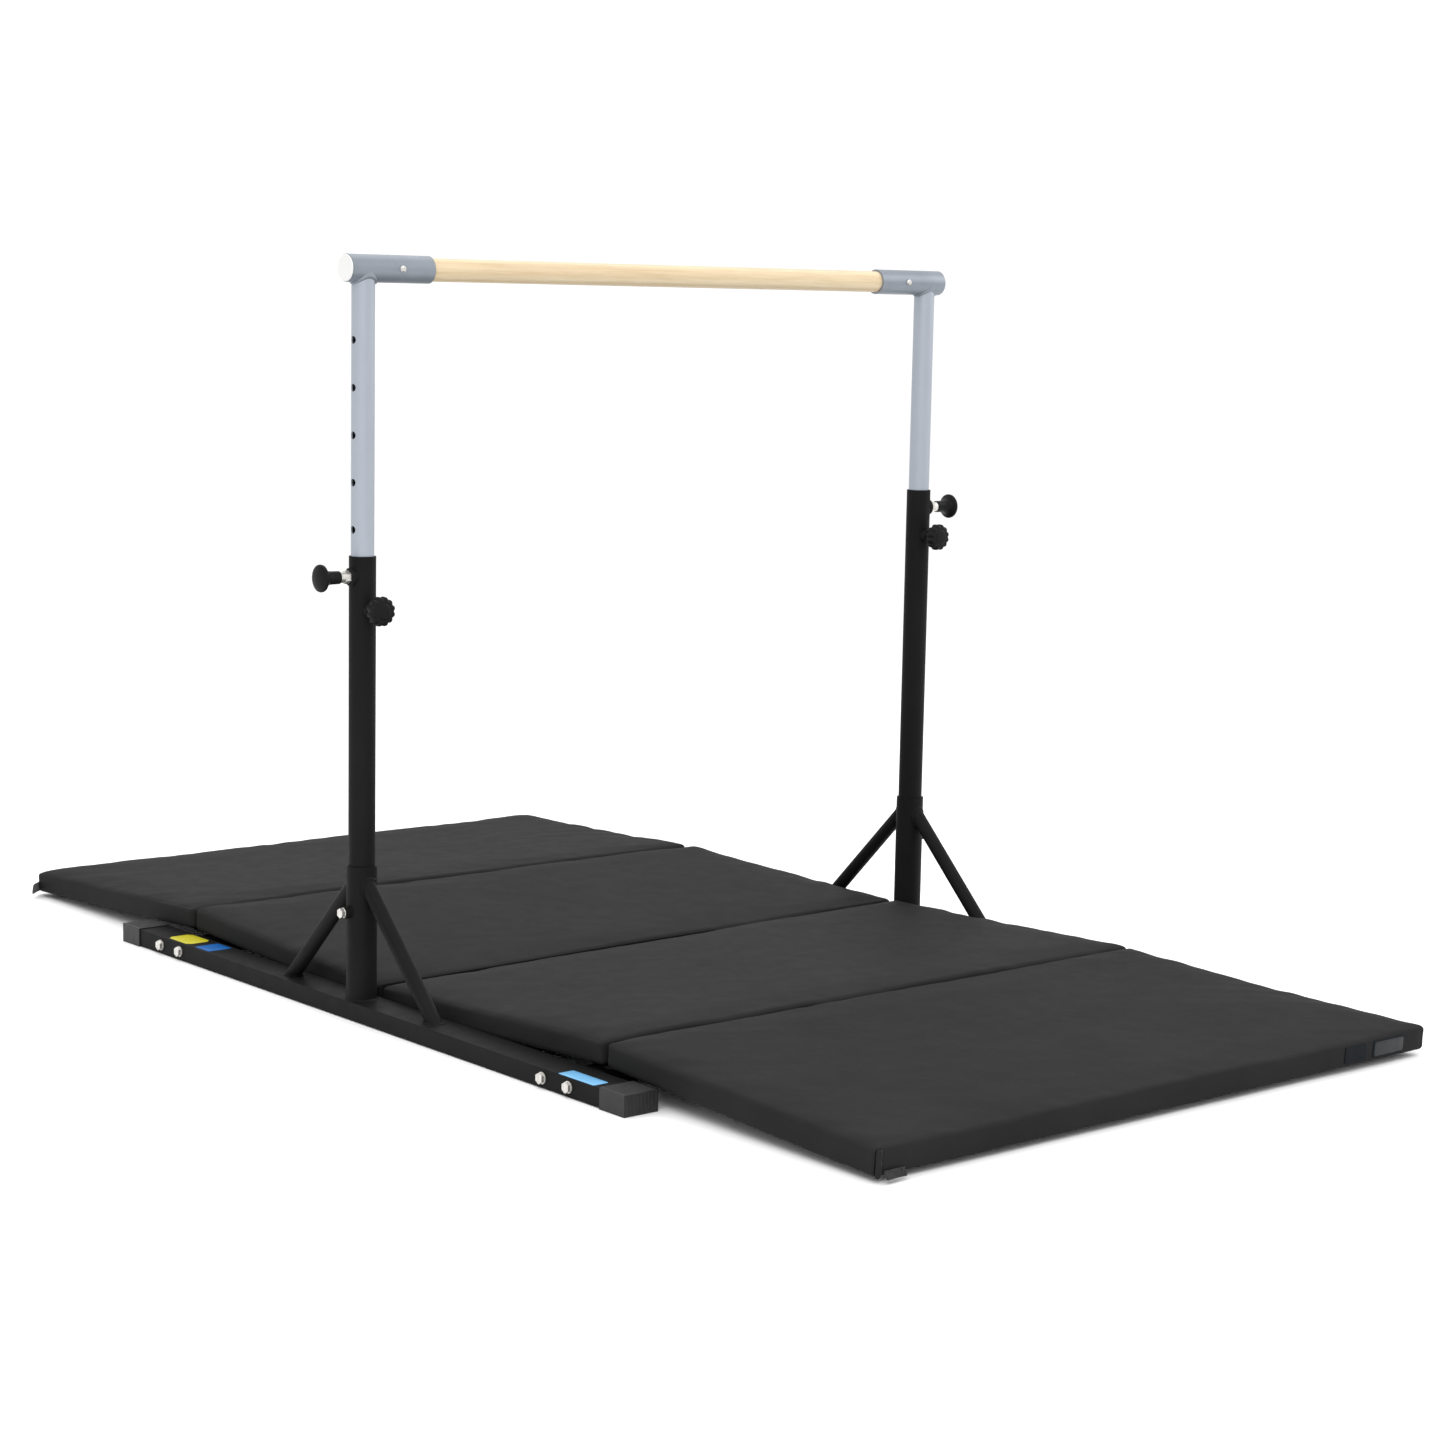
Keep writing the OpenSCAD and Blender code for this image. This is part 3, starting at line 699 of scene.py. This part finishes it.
def grid_faces(rows, n):
    """Faces of a closed surface made of rows of n points each, capped at both ends."""
    faces = [(i * n + k, i * n + (k + 1) % n, (i + 1) * n + (k + 1) % n, (i + 1) * n + k)
             for i in range(rows - 1) for k in range(n)]
    return faces + [tuple(range(n)), tuple((rows - 1) * n + k for k in reversed(range(n)))]


def rounded_plate(name, panel, u0, u1, w0, w1, proud, thick, radius, mat, node=None, dome=0.0):
    """A thin patch with rounded corners on the free end face of a panel."""
    ring = []
    left, right, low, high = u0 + radius, u1 - radius, w0 + radius, w1 - radius
    for cu, cw, a0 in ((right, high, 0), (left, high, 90), (left, low, 180), (right, low, 270)):
        for a in np.linspace(a0, a0 + 90, 5):
            ring.append((cu + radius * math.cos(math.radians(a)), cw + radius * math.sin(math.radians(a))))
    mu, mw = (u0 + u1) / 2, (w0 + w1) / 2
    levels = [(1.0, 0.0), (1.0, thick * 0.7), (0.985, thick), (0.93, thick + dome * 0.4),
              (0.6, thick + dome), (0.25, thick + dome)]
    verts = []
    for k, out in levels:
        kw = 1 - (1 - k) * min(1.0, 1.8 * (u1 - u0) / (w1 - w0) / 3)
        for u, w in ring:
            spot = [mu + (u - mu) * k, panel.length + proud + out, mw + (w - mw) * kw]
            verts.append(panel.world(np.array([spot]))[0])
    faces = grid_faces(len(levels), len(ring))
    return finish_strip(name, verts, faces, mat, "panel_" + panel.name, 0, node)


front = panels["front_outer"]
lo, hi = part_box("mat_patch")


def end_u(x):
    """The panel's u for a place x across its free end face."""
    return (x - front.x0) / float(front.grow(front.length))


rounded_plate("end_patch", front, end_u(lo.x), end_u(lo.x + 0.055), 0.009, 0.036,
              -SEAT, 0.0015, 0.003, MATS["patch"], "mat_patch")
rounded_plate("card_pocket", front, end_u(hi.x - 0.08), end_u(hi.x), 0.008, 0.037,
              -SEAT, 0.0012, 0.004, MATS["patch"])
rounded_plate("pocket_window", front, end_u(hi.x - 0.076), end_u(hi.x - 0.004), 0.011, 0.034,
              -0.0007, 0.0006, 0.0035, MATS["pocket"], None, 0.0008)
# a thin strip in the black hook-tape material over the open pleat beside the near corner: painted shade in the slit
rounded_plate("painted_slit_shade", front, 0.0088, 0.0118, 0.002, 0.041,
              -SEAT, 0.0007, 0.0013, MATS["hook_tape"])
rounded_plate("corner_lip", front, 0.0015, 0.009, 0.0015, 0.0425,
              -SEAT, 0.0026, 0.003, MATS["vinyl"])


# ---- Labels on the left leg ----

def leg_label(name, x0, x1, y0, y1, mat, cut):
    """A thin sticker with cut corners on top of the left leg."""
    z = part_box("leg_left")[1].z
    ring = [(x0 + cut, y0), (x1 - cut, y0), (x1, y0 + cut), (x1, y1 - cut),
            (x1 - cut, y1), (x0 + cut, y1), (x0, y1 - cut), (x0, y0 + cut)]
    mx, my = (x0 + x1) / 2, (y0 + y1) / 2
    levels = [(1, 0.0), (1, 0.0003), (0.985, 0.0005), (0.5, 0.0005)]
    verts = [(mx + (x - mx) * k, my + (y - my) * k, z + h) for k, h in levels for x, y in ring]
    return finish_strip(name, verts, grid_faces(len(levels), len(ring)), mat, "base", 0)


yellow = leg_label("label_yellow", -0.6465, -0.5985, 0.524, 0.596, MATS["yellow"], 0.008)
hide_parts("leg_labels")
leg_label("label_blue", -0.6465, -0.5985, 0.452, 0.5, MATS["blue"], 0.002)
leg_label("label_sky", -0.652, -0.623, -0.668, -0.58, MATS["sky"], 0.002)


# ---- Clamp knobs ----

def clamp_knob(side):
    """Soft twelve-lobed knob with a raised middle disc."""
    node = "clamp_knob_" + side
    lo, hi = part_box(node)
    cx, cz = (lo.x + hi.x) / 2, (lo.z + hi.z) / 2
    profile = [(0, 0.0), (0, 7.5), (0.3, 8.9), (4.4, 9.4), (5.1, 11.5), (5.3, 19.0), (6.1, 22.6),
               (8.0, 24.4), (11, 24.6), (16.0, 24.6), (19.4, 24.0), (21.6, 22.0), (22.7, 18.6), (23.0, 15.4),
               (22.6, 14.6), (22.6, 13.9), (23.3, 13.1), (24.0, 11.0), (24.2, 6.0), (24.2, 0.0)]
    lobes, n = 12, 144
    verts, faces = [], []
    for u, r in profile:
        bite = 2.7 * min(1.0, max(0.0, (r - 14.5) / 8))
        for k in range(n):
            a = 2 * math.pi * k / n
            s = (0.5 + 0.5 * math.cos(lobes * a)) ** 1.6
            q = (r - bite * s) / 1000 if r > 0 else 0
            verts.append((cx + q * math.cos(a), hi.y - u / 1000, cz + q * math.sin(a)))
    for i in range(len(profile) - 1):
        for k in range(n):
            j = (k + 1) % n
            faces.append((i * n + k, (i + 1) * n + k, (i + 1) * n + j, i * n + j))
    return finish_strip("knob_" + side, verts, faces, MATS["black_plastic"], "clamp_screw_" + side,
                        1, node)


for side in SIDES:
    clamp_knob(side)


# ---- Grip ridges on top of the end caps ----

def cap_ridges(node):
    lo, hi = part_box(node)
    count, r = 13, 0.0007
    verts, faces = [], []
    front = lo.y < 0
    y0, y1 = (lo.y + 0.004, hi.y - 0.0035) if front else (lo.y + 0.0035, hi.y - 0.004)
    for i in range(count):
        x = lo.x + 0.007 + i * (hi.x - lo.x - 0.014) / (count - 1)

        def ring(y):
            low = 0.0004 if y in (y0, y1) else r
            shape = [(-0.0011, -0.0002), (-0.0006, low * 0.8), (0, low), (0.0006, low * 0.8), (0.0011, -0.0002)]
            return [(x + across, y, hi.z + up) for across, up in shape]

        v, f = sweep(ring, [y0, y0 + 0.001, (y0 + y1) / 2, y1 - 0.001, y1])
        faces += [tuple(k + len(verts) for k in face) for face in f]
        verts += v
    finish_strip("ridges_" + node, verts, faces, MATS["black_rubber"], "base", 0)


for node in ("cap_left_front", "cap_left_back", "cap_right_front", "cap_right_back"):
    cap_ridges(node)


# ---- Floor, light and camera ----

def stage_floor():
    bpy.ops.mesh.primitive_plane_add(size=60, location=(0, 0, 0))
    floor = bpy.context.object
    floor.name = "floor"
    m = Look("floor", grey(0.95), 0.9, spec=0.05)
    m.color(m.noise(2, 3), [(0.3, grey(0.945)), (0.7, grey(0.955))])
    dress(floor, m.mat)


def area_light(name, place, target, size, power):
    data = bpy.data.lights.new(name, "AREA")
    data.shape = "RECTANGLE"
    data.size, data.size_y = size
    data.energy = power
    lamp = bpy.data.objects.new(name, data)
    lamp.location = place
    lamp.rotation_mode = "QUATERNION"
    lamp.rotation_quaternion = (Vector(target) - Vector(place)).to_track_quat("-Z", "Y")
    bpy.context.scene.collection.objects.link(lamp)


def light_and_camera():
    world = bpy.data.worlds.new("studio")
    world.use_nodes = True
    world.node_tree.nodes["Background"].inputs["Color"].default_value = (1, 1, 1, 1)
    world.node_tree.nodes["Background"].inputs["Strength"].default_value = 1.07
    bpy.context.scene.world = world
    bpy.context.scene.view_settings.view_transform = "Standard"
    area_light("key", (-3.2, -3.4, 4.2), (0, 0, 0.4), (3.2, 2.4), 120)
    area_light("fill", (3.6, -1.6, 2.8), (0, 0, 0.5), (2.6, 2.2), 50)
    area_light("top", (0, 1.2, 4.6), (0, 0, 0), (4.0, 4.0), 70)

    data = bpy.data.cameras.new("camera")
    data.sensor_width = 36
    data.lens = 74.54
    data.clip_end = 100
    cam = bpy.data.objects.new("camera", data)
    right = Vector((0.76517201, -0.6435329, 0.01942187))
    down = Vector((-0.07486644, -0.11889821, -0.99007991))
    ahead = Vector((0.63945822, 0.75612739, -0.1391566))
    turn = Matrix((right, -down, -ahead)).transposed().to_4x4()
    cam.matrix_world = Matrix.Translation((-3.3006, -4.0794, 1.1856)) @ turn
    bpy.context.scene.collection.objects.link(cam)
    bpy.context.scene.camera = cam


stage_floor()
light_and_camera()
